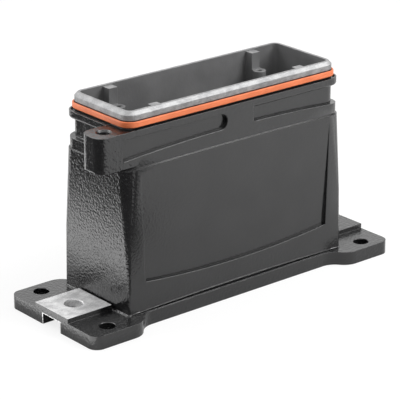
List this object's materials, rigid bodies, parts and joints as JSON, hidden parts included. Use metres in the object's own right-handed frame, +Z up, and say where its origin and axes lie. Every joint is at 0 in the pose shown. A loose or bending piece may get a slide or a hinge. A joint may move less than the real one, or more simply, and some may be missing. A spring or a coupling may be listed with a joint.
{
  "type": "heavy duty rectangular connector housing",
  "caption": "Bulkhead base housing of a heavy duty rectangular connector: cast foot plate, hollow tower, two screw-locking lugs, bare rim with a rim seal, flange seal below.",
  "frame": {"origin": "centre of the foot plate, on the plane of its underside", "axes": "+X along the housing, the earth pad is at -X; -Y is the side with the front lug and the label pocket; +Z up, the way the mating hood leaves"},
  "size_m": [0.2218, 0.0798, 0.124],
  "materials": {
    "painted_casting": "black orange-peel powder coat on an aluminium casting, bare machined metal on the rim, the rib tops, the screw seats and the earth pad",
    "orange_seal": "smooth orange silicone",
    "black_seal": "matt black rubber"
  },
  "bodies": {
    "root": {"housing": "painted_casting", "rim_seal": "orange_seal", "flange_seal": "black_seal"}
  },
  "joints": []
}
